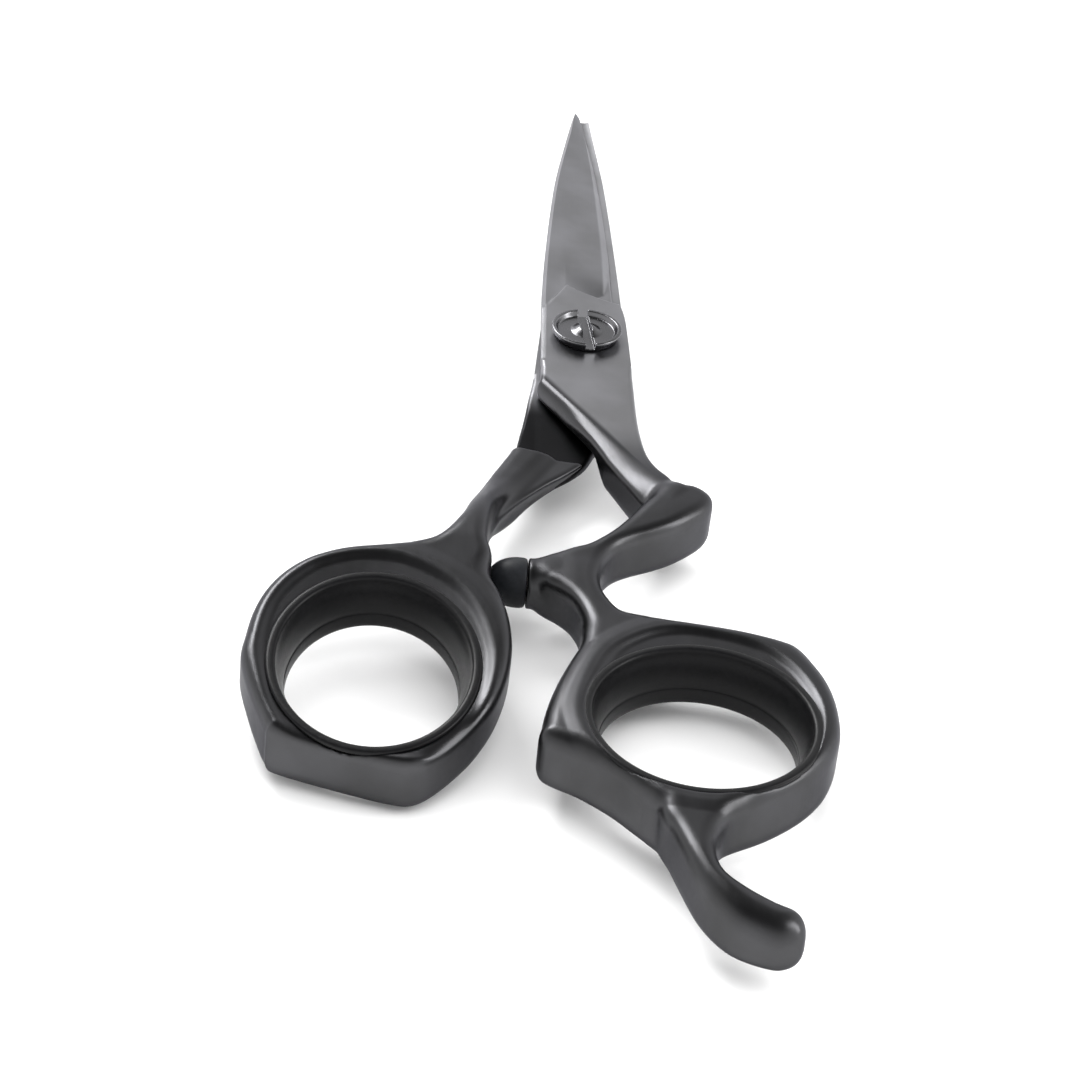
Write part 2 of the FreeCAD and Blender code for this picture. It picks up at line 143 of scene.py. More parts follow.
class Outline:
    """Signed distance in the plane to a closed curve, negative inside, kept on a fine grid."""

    STEP = 0.1
    MARGIN = 4.0

    def __init__(self, points):
        curve = spline(points)
        self.low = curve.min(0) - self.MARGIN
        counts = np.ceil((curve.max(0) + self.MARGIN - self.low) / self.STEP).astype(int) + 1
        xs = self.low[0] + np.arange(counts[0]) * self.STEP
        ys = self.low[1] + np.arange(counts[1]) * self.STEP
        x, y = np.meshgrid(xs, ys, indexing="ij")
        best = np.full(x.shape, 1e9)
        inside = np.zeros(x.shape, bool)
        for (ax, ay), (bx, by) in zip(curve, np.roll(curve, -1, axis=0)):
            ex, ey = bx - ax, by - ay
            px, py = x - ax, y - ay
            t = np.clip((px * ex + py * ey) / (ex * ex + ey * ey), 0, 1)
            best = np.minimum(best, (px - t * ex) ** 2 + (py - t * ey) ** 2)
            if ay != by:
                inside ^= ((ay > y) != (by > y)) & (px < py * ex / ey)
        self.grid = np.where(inside, -1, 1) * np.sqrt(best)

    def __call__(self, x, y):
        u = (x - self.low[0]) / self.STEP
        v = (y - self.low[1]) / self.STEP
        cu = np.clip(u, 0, self.grid.shape[0] - 1.001)
        cv = np.clip(v, 0, self.grid.shape[1] - 1.001)
        i, j = cu.astype(int), cv.astype(int)
        fu, fv = cu - i, cv - j
        g = self.grid
        near = g[i, j] * (1 - fu) * (1 - fv) + g[i + 1, j] * fu * (1 - fv)
        near = near + g[i, j + 1] * (1 - fu) * fv + g[i + 1, j + 1] * fu * fv
        return near + np.hypot(u - cu, v - cv) * self.STEP


def oval_distance(x, y, half_x, half_y):
    """Close to the distance to an ellipse, negative inside."""
    k0 = np.sqrt((x / half_x) ** 2 + (y / half_y) ** 2)
    k1 = np.sqrt((x / half_x ** 2) ** 2 + (y / half_y ** 2) ** 2) + 1e-9
    return k0 * (k0 - 1) / k1


# ---- finger half, behind the blade ----
FINGER_PLATE = Outline([
    (-5.25, 0, 1), (-5.25, -9.6), (-5.6, -11.3), (-4.7, -13.4), (-2.6, -16.9), (0.4, -22.0), (2.7, -27.0),
    (4.9, -31.8), (7.5, -36.5, 1), (10.2, -33.0, 1), (9.3, -30.2), (7.9, -27.8), (6.7, -24.2), (5.95, -18.5),
    (5.55, -10.0), (5.1, 0, 1),
])
FINGER_BAR = Outline([
    (10.1, -31.7), (11.7, -31.5), (13.1, -32.3), (14.0, -33.9), (13.5, -36.0), (11.8, -38.2), (9.6, -40.3),
    (7.4, -41.8), (5.2, -43.1), (3.4, -44.6), (2.2, -46.6), (1.6, -48.8), (1.5, -51.0), (2.1, -53.4),
    (3.6, -55.9), (6.5, -58.5), (5.5, -62.0, 1), (0.5, -62.0, 1), (-0.2, -59.2), (-0.9, -56.3), (-1.8, -54.3),
    (-3.1, -52.8), (-4.5, -51.7), (-5.4, -50.5), (-5.4, -47.9), (-4.5, -46.8), (-3.2, -46.1), (-1.6, -45.2),
    (0.2, -44.2), (2.2, -42.1), (3.9, -39.7), (5.5, -37.0),
    (7.0, -34.6), (8.5, -32.5),
])
FINGER_RING_OUTLINE = Outline([
    (2.5, -57.5), (5.7, -56.6), (9.2, -57.2), (13.6, -57.7), (17.3, -58.3), (20.9, -59.2), (22.3, -60.3),
    (23.4, -62.3), (24.7, -65.5), (25.4, -69.4), (25.4, -74.0), (24.4, -77.7), (22.5, -80.9), (19.9, -83.7),
    (16.5, -86.3), (12.0, -88.5), (7.2, -87.9), (5.0, -86.0), (2.4, -83.3), (-0.8, -80.8), (-4.5, -78.6),
    (-4.5, -76.0), (-4.0, -72.6), (-3.1, -69.0), (-1.9, -65.4), (-0.7, -62.2), (0.2, -59.6),
])
TANG = Outline([
    (12.8, -90.2), (12.25, -92.6), (12.4, -94.8), (13.3, -96.6), (15.2, -98.0), (17.5, -99.0), (19.6, -99.7),
    (20.5, -101.0), (20.0, -102.8), (18.2, -103.8), (15.9, -103.4), (13.6, -102.3), (11.9, -100.6),
    (10.5, -98.3), (9.6, -96.0), (8.7, -93.3), (7.9, -90.9), (6.9, -88.4), (6.5, -84.5, 1), (16.5, -84.0, 1),
    (15.0, -86.6), (13.7, -88.4),
])
FINGER_RIDGE = Outline([
    (-0.4, -72.0), (1.7, -64.6), (4.7, -60.9), (8.1, -59.0), (11.8, -58.7), (16.7, -59.9), (19.9, -62.0),
    (22.4, -65.6), (23.9, -70.2), (23.8, -74.5), (21.9, -79.0), (18.4, -83.0), (12.6, -86.2), (6.8, -85.2),
    (2.6, -81.6), (0.0, -77.0),
])


def ring_top(ridge, dish_depth, dish_width, outer_slope):
    """Height of a ring's top: a soft ridge, a dished band inside it and a gentle fall outside."""
    crest, dish_slope = 0.15, 0.07
    inner = np.clip(-ridge, 0, 9)
    outer = np.clip(ridge, 0, 2.2)
    round_off = 0.12 * np.exp(-(ridge / 0.5) ** 2)
    dish = dish_depth * smoothstep(0, dish_width, inner) + dish_slope * inner
    return HALF + crest - round_off - dish - outer_slope * outer


def near_ring(ridge):
    """1 on a ring, falling to 0 away from it."""
    return 1 - smoothstep(1.5, 5.0, ridge)


def plate_rounding(y):
    """Edge rounding of a ride plate, small where it runs on from the ground blade."""
    return PLATE_ROUND + PLATE_ROUND_MORE * smoothstep(SPLIT_Y, SPLIT_Y - 2.5, y)


def finger_field(x, y, z):
    """The ride plate, neck, hump, bumper boss, finger ring and tang as one smooth body."""
    # ride plate and neck: a flat top that rolls over along its rear left side
    plan = FINGER_PLATE(x, y)
    (ax, ay), (bx, by) = ROLL_START, ROLL_END
    length = math.hypot(bx - ax, by - ay)
    across = ((x - ax) * (by - ay) - (y - ay) * (bx - ax)) / length
    down = smoothstep(-15, -28, y)
    roll_width = 1.3 + 3.4 * down
    side = np.clip(across / roll_width, 0, 1)
    straight = 0.12
    drop = straight * side + (1 - straight) * (1 - np.sqrt(np.maximum(1 - side * side, 0)))
    foot = 0.3 - 1.7 * down
    top = PLATE_TOP - (PLATE_TOP - foot) * drop + 0.7 * smoothstep(-25, -33, y)
    radius = np.hypot(x, y)
    bottom = RIDE_FACE - (HALF - 0.1) * smoothstep(*FINGER_STEP, radius)
    edge = plate_rounding(y)
    neck = smooth_max(plan, z - top, edge)
    neck = smooth_max(neck, bottom - z, edge + 1.6 * smoothstep(23, 27, radius))
    # hump, bar, ring and tang share one outline and one top
    lean = 0.28 * smoothstep(-72, -80, y)
    plan = smooth_min(FINGER_BAR(x, y), FINGER_RING_OUTLINE(x, y - lean * z), 2.0)
    plan = smooth_min(plan, TANG(x, y - 0.22 * z * smoothstep(-82, -95, y)), 0.9)
    ridge = FINGER_RIDGE(x, y)
    swell = 0.25 * np.exp(-((x - 9.5) ** 2 + (y + 36.5) ** 2) / 18)
    bar_top = HALF + swell - 0.25 * smoothstep(-43, -48, y) - 0.22 * smoothstep(-1, -5, x)
    share = near_ring(ridge)
    top = ring_top(ridge, dish_depth=0.55, dish_width=1.3, outer_slope=0.17) * share + bar_top * (1 - share)
    curl = smoothstep(-93, -101, y)
    top = top - curl * (0.25 + 0.8 * smoothstep(12, 20, x))
    at_ring = smoothstep(-54, -59, y)
    body = smooth_max(plan, z - top, 1.6 + 0.2 * at_ring + 0.9 * curl)
    body = smooth_max(body, -HALF - z, BOTTOM_ROUND)
    boss = smooth_max(np.hypot(y - BOSS_Y, z) - BOSS_RADIUS, x - BOSS_START, 1.5)
    boss = smooth_max(boss, BOSS_END - x, 0.3)
    body = smooth_min(body, boss, 0.5)
    body = smooth_min(neck, body, 1.3)
    bore = FINGER_BORE_RADIUS - np.hypot(x - FINGER_BORE[0], y - FINGER_BORE[1])
    return smooth_max(body, bore, BORE_ROUND)


# ---- thumb half, behind the blade ----
THUMB_PLATE = Outline([
    (4.95, 0, 1), (5.1, -6.0), (4.5, -11.0), (2.9, -16.5), (1.3, -20.6), (0.1, -23.6), (-2.0, -26.4),
    (-5.0, -29.0, 1), (-8.2, -28.0, 1), (-8.15, -25.5), (-7.6, -20.5), (-7.0, -15.9), (-6.5, -11.2),
    (-5.9, -6.0), (-5.5, 0, 1),
])
THUMB_SHANK = Outline([
    (-8.1, -22.0), (-8.3, -26.0), (-9.5, -29.4), (-10.8, -32.8), (-11.9, -36.6), (-12.9, -40.8),
    (-13.9, -45.0), (-16.0, -49.0), (-20.0, -52.0), (-23.0, -55.0, 1), (-14.0, -58.0, 1), (-10.4, -52.5),
    (-10.8, -48.5), (-10.5, -44.0), (-9.8, -39.9), (-8.3, -36.2), (-6.3, -31.9), (-4.4, -28.0),
    (-3.2, -24.5), (-4.5, -22.0),
])
THUMB_FLANK = Outline([
    (-7.0, -20.0), (-7.8, -27.0), (-9.4, -31.5), (-11.4, -38.0), (-12.4, -43.0), (-10.4, -42.6),
    (-8.9, -39.8), (-6.9, -36.6), (-4.3, -33.2), (-1.8, -30.4), (0.2, -27.6), (1.2, -24.6),
    (1.6, -21.0), (-3.0, -18.0),
])
THUMB_RING_OUTLINE = Outline([
    (-13.2, 0.0), (-13.0, 3.3), (-12.6, 6.3), (-11.8, 9.1), (-10.5, 11.7), (-8.8, 13.8), (-6.8, 15.4),
    (-3.6, 16.9), (0.6, 17.8), (5.0, 18.0), (9.0, 16.6), (11.7, 13.9), (13.1, 10.6), (13.8, 7.4), (14.0, 4.2),
    (13.7, 0.6), (12.7, -3.5), (11.2, -6.7), (9.2, -9.7), (7.3, -12.0), (5.4, -13.5), (3.0, -13.7),
    (-3.2, -12.35), (-8.9, -10.75), (-9.9, -9.7), (-10.9, -7.4), (-12.2, -3.9),
])
THUMB_RIDGE = Outline([
    (-12.2, 0.9), (-11.9, 5.6), (-10.6, 9.7), (-7.9, 13.4), (-5.0, 15.3), (-1.4, 16.3), (2.9, 15.9),
    (7.4, 13.4), (10.2, 9.9), (11.9, 5.6), (12.6, 1.4), (12.3, -3.4), (10.9, -8.2), (8.6, -11.4),
    (5.4, -13.1), (0.5, -12.9), (-4.5, -12.2), (-8.3, -10.5), (-10.4, -7.0), (-11.4, -3.4),
])


def to_thumb_ring(x, y, z):
    """From the pivot's frame to the tilted ring's own frame."""
    px, py = x - THUMB_RING[0], y - THUMB_RING[1]
    c, s = math.cos(THUMB_TILT), math.sin(THUMB_TILT)
    return px, c * py + s * z, -s * py + c * z


def from_thumb_ring(points):
    """From the tilted ring's own frame to the pivot's frame."""
    u, v, w = points.T
    c, s = math.cos(THUMB_TILT), math.sin(THUMB_TILT)
    return np.stack([u + THUMB_RING[0], c * v - s * w + THUMB_RING[1], s * v + c * w], 1)


def thumb_field(x, y, z):
    """The ride plate, its shoulder, the shank and the tilted ring as one smooth body."""
    # ride plate, hollowed towards the shoulder
    hollow = RIDE_FACE + HOLLOW_DEPTH * smoothstep(-8, -30, y) * smoothstep(-9.5, -5.5, x)
    edge = plate_rounding(y)
    plate = smooth_max(THUMB_PLATE(x, y), z + hollow, edge)
    plate = smooth_max(plate, -PLATE_TOP - z, edge)
    # flank of the shank: its wall leans back under the ledge at its top
    radius = np.hypot(x, y)
    flank = THUMB_FLANK(x, y) + 0.75 * np.clip(2.0 - z, 0, 5)
    flank = smooth_max(flank, z - 2.1, 0.9)
    flank = smooth_max(flank, np.minimum(SHOULDER_RADIUS - radius, z + hollow + 0.8), 0.4)
    flank = smooth_max(flank, -HALF + 0.2 - z, BOTTOM_ROUND)
    # shank and ring share one outline and one top
    u, v, w = to_thumb_ring(x, y, z)
    blend = smoothstep(-33, -50, y)
    height = z * (1 - blend) + w * blend
    lean = 0.2 * smoothstep(-3, -9, v)
    plan = smooth_min(THUMB_SHANK(x, y), THUMB_RING_OUTLINE(u, v - lean * w), 2.5)
    ridge = THUMB_RIDGE(u, v)
    shank_top = 2.85 + 0.25 * smoothstep(-30, -36, y) - 0.2 * smoothstep(-40, -49, y)
    share = near_ring(ridge)
    top = ring_top(ridge, dish_depth=0.45, dish_width=1.5, outer_slope=0.2) * share + shank_top * (1 - share)
    body = smooth_max(plan, height - top, 1.6)
    body = smooth_max(body, -HALF - height, BOTTOM_ROUND)
    body = smooth_max(body, SHOULDER_RADIUS - radius, 0.5)
    body = smooth_min(smooth_min(body, flank, 1.2), plate, 0.5)
    bore = -oval_distance(u - THUMB_BORE[0], v - THUMB_BORE[1], *THUMB_BORE_HALF)
    return smooth_max(body, bore, BORE_ROUND)


# ---- meshing ----
# each edge of a grid cell as its first corner and the axis it runs along
CUBE_EDGES = [
    ((0, 0, 0), 0), ((0, 1, 0), 0), ((0, 0, 1), 0), ((0, 1, 1), 0),
    ((0, 0, 0), 1), ((1, 0, 0), 1), ((0, 0, 1), 1), ((1, 0, 1), 1),
    ((0, 0, 0), 2), ((1, 0, 0), 2), ((0, 1, 0), 2), ((1, 1, 0), 2),
]
BLOCK = 8                    # grid points along each side of a block
HALF_DIAGONAL = 0.87         # of a cube with sides of 1
BLOCKS_AT_ONCE = 600
PULLS = 3                    # rounds of pulling the vertices onto the true surface


def sample_field(field, low, counts, step):
    """The field on a grid, worked out in full only in blocks near the surface."""
    slack = 1.25
    reach = BLOCK * step * HALF_DIAGONAL * slack
    blocks = -(-counts // BLOCK)
    centres = [low[i] + (np.arange(blocks[i]) + 0.5) * BLOCK * step - step / 2 for i in range(3)]
    cx, cy, cz = np.meshgrid(*centres, indexing="ij")
    rough = field(cx.ravel(), cy.ravel(), cz.ravel()).reshape(cx.shape)
    values = np.kron(rough, np.ones((BLOCK, BLOCK, BLOCK), np.float32)).astype(np.float32)
    near = np.argwhere(np.abs(rough) < reach)
    offsets = np.stack(np.meshgrid(*[np.arange(BLOCK)] * 3, indexing="ij"), -1).reshape(-1, 3)
    for group in np.array_split(near, max(1, len(near) // BLOCKS_AT_ONCE)):
        index = (group[:, None, :] * BLOCK + offsets[None]).reshape(-1, 3)
        p = low + index * step
        values[tuple(index.T)] = field(p[:, 0], p[:, 1], p[:, 2])
    return values


def surface_mesh(field, low, high, step):
    """Vertices and quads of the field's zero surface by surface nets, pulled onto the true surface."""
    low = np.array(low, float)
    counts = np.ceil((np.array(high, float) - low) / step).astype(int) + 1
    f = sample_field(field, low, counts, step)
    solid = f < 0
    cells = tuple(s - 1 for s in f.shape)
    total = np.zeros(cells + (3,), np.float32)
    hits = np.zeros(cells, np.float32)
    for corner, axis in CUBE_EDGES:
        other = list(corner)
        other[axis] = 1
        a = f[tuple(slice(c, c + n) for c, n in zip(corner, cells))]
        b = f[tuple(slice(c, c + n) for c, n in zip(other, cells))]
        cross = (a < 0) != (b < 0)
        share = np.where(cross, a / np.where(cross, a - b, 1), 0)
        for i in range(3):
            total[..., i] += np.where(cross, corner[i] + (share if i == axis else 0), 0)
        hits += cross
    used = hits > 0
    number = np.full(cells, -1, np.int64)
    number[used] = np.arange(used.sum())
    points = low + (np.argwhere(used) + total[used] / hits[used][:, None]) * step
    quads = []
    for axis in range(3):
        a = np.take(solid, range(solid.shape[axis] - 1), axis)
        b = np.take(solid, range(1, solid.shape[axis]), axis)
        for flip, cross in ((False, a & ~b), (True, ~a & b)):
            edge = np.argwhere(cross)
            one, two = (axis + 1) % 3, (axis + 2) % 3
            keep = (edge[:, one] > 0) & (edge[:, two] > 0)
            keep &= (edge[:, one] < cells[one]) & (edge[:, two] < cells[two])
            edge = edge[keep]
            ring = []
            for i, j in ((1, 1), (0, 1), (0, 0), (1, 0)):
                cell = edge.copy()
                cell[:, one] -= i
                cell[:, two] -= j
                ring.append(number[tuple(cell.T)])
            ring = np.stack(ring, 1)
            quads.append(ring[:, ::-1] if flip else ring)
    quads = np.concatenate(quads)
    for _ in range(PULLS):
        points = pull_to_surface(field, points, step)
    return points, quads


def pull_to_surface(field, points, step):
    """Moves each point down the field's slope to where the field is 0, at most half a step."""
    x, y, z = points.T
    e = 0.25 * step
    here = field(x, y, z)
    slope = np.stack([
        field(x + e, y, z) - field(x - e, y, z),
        field(x, y + e, z) - field(x, y - e, z),
        field(x, y, z + e) - field(x, y, z - e),
    ], 1) / (2 * e)
    flattest = 0.05
    size = np.maximum((slope ** 2).sum(1), flattest)
    move = -slope * (here / size)[:, None]
    length = np.linalg.norm(move, axis=1)
    limit = np.minimum(1, 0.5 * step / np.maximum(length, 1e-9))
    return points + move * limit[:, None]


def make_object(name, points, faces, sharp=40):
    """A mesh object from points in millimetres from the pivot."""
    mesh = bpy.data.meshes.new(name)
    mesh.from_pydata((np.asarray(points) * MM + PIVOT).tolist(), [], [list(map(int, q)) for q in faces])
    mesh.validate()
    mesh.update()
    mesh.shade_smooth()
    mesh.set_sharp_from_angle(angle=math.radians(sharp))
    piece = bpy.data.objects.new(name, mesh)
    bpy.context.scene.collection.objects.link(piece)
    return piece


def cut_flat(piece, place, normal, keep_front):
    """Cuts a closed mesh with a plane, in millimetres from the pivot, and caps the cut."""
    mesh = bmesh.new()
    mesh.from_mesh(piece.data)
    co = Vector(np.array(place) * MM + PIVOT)
    cut = bmesh.ops.bisect_plane(
        mesh, geom=mesh.verts[:] + mesh.edges[:] + mesh.faces[:], dist=1e-8,
        plane_co=co, plane_no=Vector(normal), clear_outer=not keep_front, clear_inner=keep_front,
    )
    rim = [g for g in cut["geom_cut"] if isinstance(g, bmesh.types.BMEdge)]
    bmesh.ops.contextual_create(mesh, geom=rim)
    mesh.to_mesh(piece.data)
    mesh.free()


# ---- blades ----
def along(y, stations):
    """A smooth value along the blade from (y, value) stations."""
    curve = spline(stations, closed=False, steps=12)
    return np.interp(y, curve[:, 0], curve[:, 1])


def blade_rows(tip):
    """Stations along a blade, closest together round the heel of its grind."""
    heel_start, heel_end, tip_start = 3.5, 14.0, 61.0
    rear = np.arange(SPLIT_Y, heel_start, 0.5)
    heel = np.arange(heel_start, heel_end, 0.12)
    front = np.arange(heel_end, tip_start, 0.4)
    return np.concatenate([rear, heel, front, np.linspace(tip_start, tip, 4)])


def make_blade(name, spine, edge, tip, heel_line, flip):
    """A hollow-ground blade: spine at -X, cutting edge at +X, inner face at z = RIDE_FACE.

    spine and edge are (y, offset) stations, heel_line the plan line where the grind begins."""
    grind_y, taper = 8.0, 1.25              # the spine thins by the taper from here to the tip
    land, thinnest = 0.28, 0.45             # thickness at the edge, and the least under the heel's dip
    edge_bevel = 0.87                       # share of the width where the last steep bevel begins
    dip_depth, dip_length = 1.7, 5.0        # the deeper hollow just past the heel
    inner_land = 0.08                       # share of the inner face left flat behind the edge
    q = np.linspace(0, 1, 56)               # across the outer face, from the spine to the edge
    inner_q = np.linspace(0, 1, 15)         # across the inner face, from the edge to the spine
    count = 1 + len(q) + len(inner_q)
    rows = blade_rows(tip)
    points = []
    for y in rows:
        left = -float(along(y, spine))
        right = float(along(y, edge))
        travel = max(0.0, (y - grind_y) / (tip - grind_y))
        spine_top = PLATE_TOP - taper * travel
        bevel = min(0.42, (right - left) / 6)
        x = left + bevel + (right - left - bevel) * q
        boundary = np.interp(x, heel_line[:, 0], heel_line[:, 1])
        m = smoothstep(0.0, 0.75, (y - boundary) * 0.86)
        crown = np.where(q < edge_bevel, 1 - 0.32 * q - 0.27 * q * q, 0.517 * (1 - q) / 0.13)
        ground = land + (spine_top - land) * crown
        past = np.clip(y - boundary, 0, 60)
        dip = dip_depth * q * np.exp(-(past / dip_length) ** 2)
        ground = np.maximum(ground - dip, np.minimum(ground, thinnest))
        z = PLATE_TOP * (1 - m) + ground * m
        m_left = float(m[0])
        side_top = PLATE_TOP * (1 - m_left) + spine_top * m_left
        drop = 0.10 * (1 - m_left) + 0.45 * m_left
        hollow = 0.22 * smoothstep(9, 16, y)
        inner_x = right + (left - right) * inner_q
        arch = np.clip((inner_q - inner_land) / (1 - inner_land), 0, 1)
        inner_z = RIDE_FACE + hollow * np.sin(math.pi * arch) ** 0.8
        section = [(left, side_top - drop), *zip(x, z), *zip(inner_x, inner_z)]
        points += [(a, y, b) for a, b in section]
    points = np.array(points)
    if flip:
        points = points * np.array([-1, 1, -1])
    faces = []
    for r in range(len(rows) - 1):
        for c in range(count):
            d = (c + 1) % count
            faces.append((r * count + c, r * count + d, (r + 1) * count + d, (r + 1) * count + c))
    last = (len(rows) - 1) * count
    faces.append(tuple(range(count - 1, -1, -1)))
    faces.append(tuple(range(last, last + count)))
    faces = [f[::-1] for f in faces]
    return make_object(name, points, faces, sharp=22)


def bore_out(piece, steps):
    """Cuts round seats about the pivot: each step is (radius, low, high)."""
    for radius, low, high in steps:
        mesh = bmesh.new()
        middle = Vector(PIVOT) + Vector((0, 0, (low + high) / 2 * MM))
        bmesh.ops.create_cone(
            mesh, cap_ends=True, segments=96, radius1=radius * MM, radius2=radius * MM,
            depth=(high - low) * MM, matrix=Matrix.Translation(middle),
        )
        data = bpy.data.meshes.new("cutter")
        mesh.to_mesh(data)
        mesh.free()
        cutter = bpy.data.objects.new("cutter", data)
        bpy.context.scene.collection.objects.link(cutter)
        cut = piece.modifiers.new("bore", "BOOLEAN")
        cut.operation = "DIFFERENCE"
        cut.solver = "EXACT"
        cut.object = cutter
        bpy.context.view_layer.update()
        bored = bpy.data.meshes.new_from_object(piece.evaluated_get(bpy.context.evaluated_depsgraph_get()))
        piece.modifiers.clear()
        piece.data = bored
        bpy.data.objects.remove(cutter)
    return piece


def make_finger_blade():
    spine = [(SPLIT_Y, 5.25), (2, 5.25), (8, 5.3), (14, 5.2), (25, 4.8), (40, 3.9), (52, 2.6), (60.3, 1.55),
             (FINGER_TIP, 1.25)]
    edge = [(SPLIT_Y, 5.35), (0, 5.05), (4.7, 4.75), (8, 4.2), (10, 3.65), (14, 3.4), (25, 2.95), (40, 1.95),
            (52, 0.75), (60, -0.35), (FINGER_TIP, -0.75)]
    heel = np.array([(-5.4, 4.6), (-4.3, 7.2), (-2.4, 11.9), (-1.0, 10.7), (1.0, 9.5), (3.0, 8.5),
                     (4.3, 8.0)])
    piece = make_blade("finger_blade_body", spine, edge, FINGER_TIP, heel, False)
    bush, head_washer, ride_washer = (2.45, -0.5, 3), (3.7, 1.45, 3), (4.25, -0.5, 0.2)
    return bore_out(piece, [bush, head_washer, ride_washer])


def make_thumb_blade():
    spine = [(SPLIT_Y, 5.1), (2, 4.95), (8, 4.75), (17, 4.3), (31, 3.45), (43, 2.6), (54, 1.5),
             (THUMB_TIP, 0.75)]
    edge = [(SPLIT_Y, 5.9), (2, 5.4), (8, 5.0), (12, 4.5), (20, 4.3), (31, 3.8), (43, 3.0), (54, 1.9),
            (THUMB_TIP, 1.0)]
    heel = np.array([(-4.9, 4.6), (-3.9, 7.2), (-2.0, 11.9), (-0.6, 10.7), (1.4, 9.5), (3.4, 8.5),
                     (5.2, 7.8)])
    piece = make_blade("thumb_blade_body", spine, edge, THUMB_TIP, heel, True)
    nut, ride_washer = (2.55, -3, 0.5), (4.25, -0.2, 0.5)
    return bore_out(piece, [nut, ride_washer])


# ---- liners, bumper and screw ----
def lathe(name, profile, place):
    """A closed ring swept round: profile is a closed loop of (offset outwards, height)."""
    around = 160
    angles = np.linspace(0, 2 * math.pi, around, endpoint=False)
    points = [place(turn, offset, height) for turn in angles for offset, height in profile]
    n = len(profile)
    faces = []
    for i in range(around):
        j = (i + 1) % around
        for k in range(n):
            m = (k + 1) % n
            faces.append((i * n + k, j * n + k, j * n + m, i * n + m))
    return make_object(name, points, faces, sharp=35)


def liner_profile():
    """The rubber liner's section: offsets are from the metal bore, inwards negative."""
    return spline([
        (0.0, -2.9), (0.0, 2.2), (0.26, 2.5), (0.34, 2.85), (0.2, 3.06), (-0.12, 3.1), (-0.46, 3.06),
        (-0.66, 2.88), (-0.82, 2.4), (-1.2, 1.5), (-1.5, 0.4), (-1.62, -0.5), (-1.58, -1.2), (-1.68, -1.4),
        (-1.72, -2.5), (-1.55, -3.05), (-1.1, -3.25), (-0.3, -3.25), (-0.02, -3.12),
    ], steps=3)


def make_finger_insert():
    def place(turn, offset, height):
        r = FINGER_BORE_RADIUS + offset
        return FINGER_BORE[0] + r * math.cos(turn), FINGER_BORE[1] + r * math.sin(turn), height
    return lathe("finger_liner", liner_profile(), place)


def make_thumb_insert():
    def place(turn, offset, height):
        a, b = THUMB_BORE_HALF[0] + offset, THUMB_BORE_HALF[1] + offset
        p = np.array([[THUMB_BORE[0] + a * math.cos(turn), THUMB_BORE[1] + b * math.sin(turn), height]])
        return tuple(from_thumb_ring(p)[0])
    return lathe("thumb_liner", liner_profile(), place)


def make_bumper():
    """A rubber dome on the end of its boss, turned about a line along X from (radius, x) points."""
    profile = spline([
        (0.0, -6.26, 1), (1.7, -6.26), (2.42, -6.32), (2.66, -6.6), (2.70, -7.4), (2.58, -8.3), (2.24, -9.2),
        (1.66, -9.95), (0.9, -10.38), (0.0, -10.5, 1),
    ], closed=False, steps=4)
    around = 72
    points = []
    for turn in np.linspace(0, 2 * math.pi, around, endpoint=False):
        for r, x in profile[1:-1]:
            points.append((x, BOSS_Y + r * math.cos(turn), r * math.sin(turn)))
    n = len(profile) - 2
    first, last = len(points), len(points) + 1
    points += [(profile[0][1], BOSS_Y, 0), (profile[-1][1], BOSS_Y, 0)]
    faces = []
    for i in range(around):
        j = (i + 1) % around
        faces += [(i * n + k, i * n + k + 1, j * n + k + 1, j * n + k) for k in range(n - 1)]
        faces.append((first, i * n, j * n))
        faces.append((last, j * n + n - 1, i * n + n - 1))
    return make_object("bumper_cap", points, faces, sharp=60)


def screw_field(x, y, z):
    """A wide slotted head, undercut, with a dished floor round a low dome."""
    r = np.hypot(x, y)
    rim, undercut, edge = 0.35, 0.55, 0.12
    half_slot, slot_floor = 0.58, 2.55
    shank_radius, shank_top, shank_end = 1.85, 2.4, -1.95
    wall = r - HEAD_RADIUS + undercut * np.clip(HEAD_HIGH - rim - z, 0, 1)
    head = smooth_max(smooth_max(wall, z - HEAD_HIGH, 0.25), HEAD_LOW - z, 0.15)
    dish = HEAD_HIGH - 0.6 * smoothstep(3.8, 3.3, r) + 0.5 * smoothstep(2.0, 0.7, r)
    head = smooth_max(head, z - dish, edge)
    across = x * math.cos(SLOT_TURN) + y * math.sin(SLOT_TURN)
    slot = smooth_max(np.abs(across) - half_slot, slot_floor - z, edge)
    head = smooth_max(head, -slot, edge)
    shank = smooth_max(r - shank_radius, z - shank_top, 0.1)
    return smooth_max(np.minimum(head, shank), shank_end - z, 0.1)


# ---- materials ----
BLADE_TONE = 0.24            # the blades, with a sheen
HANDLE_TONE = 0.060          # the handles, nearly black
PIT_SHADE_TONE = 0.022             # painted shade, nearly black, in the recess in front of the thumb half's shoulder
NECK_FADE = (19, 29)         # the finger half darkens between these distances behind the pivot
PIT_SHADE_FADE = (8.5, 15)         # the thumb half darkens between these, into the painted shade of its recess
ROLL_SHADE_FADE = (-0.9, -0.1)     # and the finger half just before the line where its plate rolls over: the handle's dark coat, begun early as painted shade that dims the highlight along the roll
MIX_FIRST, MIX_SECOND, MIX_RESULT = 6, 7, 2    # the Mix node's colour sockets


def shader(name, **values):
    """A material with its Principled shader's own values; underscores stand for spaces."""
    material = bpy.data.materials.new(name)
    material.use_nodes = True
    node = material.node_tree.nodes["Principled BSDF"]
    for key, value in values.items():
        node.inputs[key.replace("_", " ")].default_value = value
    return material, node


def add(material, kind, **settings):
    """A node with its own settings."""
    node = material.node_tree.nodes.new(kind)
    for key, value in settings.items():
        setattr(node, key, value)
    return node


